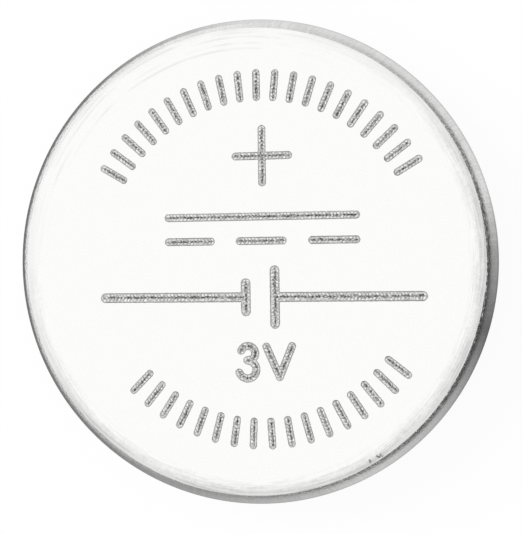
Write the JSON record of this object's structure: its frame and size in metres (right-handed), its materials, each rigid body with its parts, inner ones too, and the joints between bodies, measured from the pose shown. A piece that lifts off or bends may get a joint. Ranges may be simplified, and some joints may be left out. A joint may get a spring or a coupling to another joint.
{
  "type": "lithium coin cell",
  "caption": "Round flat lithium coin cell: a drawn steel can crimped over a plastic gasket and a stepped steel cap, with the stack of discs inside.",
  "frame": {"origin": "centre of the negative contact face, on which the cell rests", "axes": "+Z along the cell's axis from the negative face to the positive face, +Y up the engraved marks, +X to their right"},
  "size_m": [0.0125, 0.0124, 0.0025],
  "materials": {
    "can_steel": "satin nickel-plated, engraved marks on the positive face",
    "cap_steel": "satin nickel-plated",
    "gasket_polypropylene": "translucent moulded",
    "lithium": "dull pressed foil",
    "separator_felt": "non-woven film",
    "pellet_oxide": "matt pressed powder",
    "collector_steel": "expanded metal"
  },
  "bodies": {
    "root": {"positive_can": "can_steel", "negative_cap": "cap_steel", "sealing_gasket": "gasket_polypropylene", "lithium_anode": "lithium", "separator": "separator_felt", "cathode_pellet": "pellet_oxide", "cathode_collector": "collector_steel"}
  },
  "joints": []
}
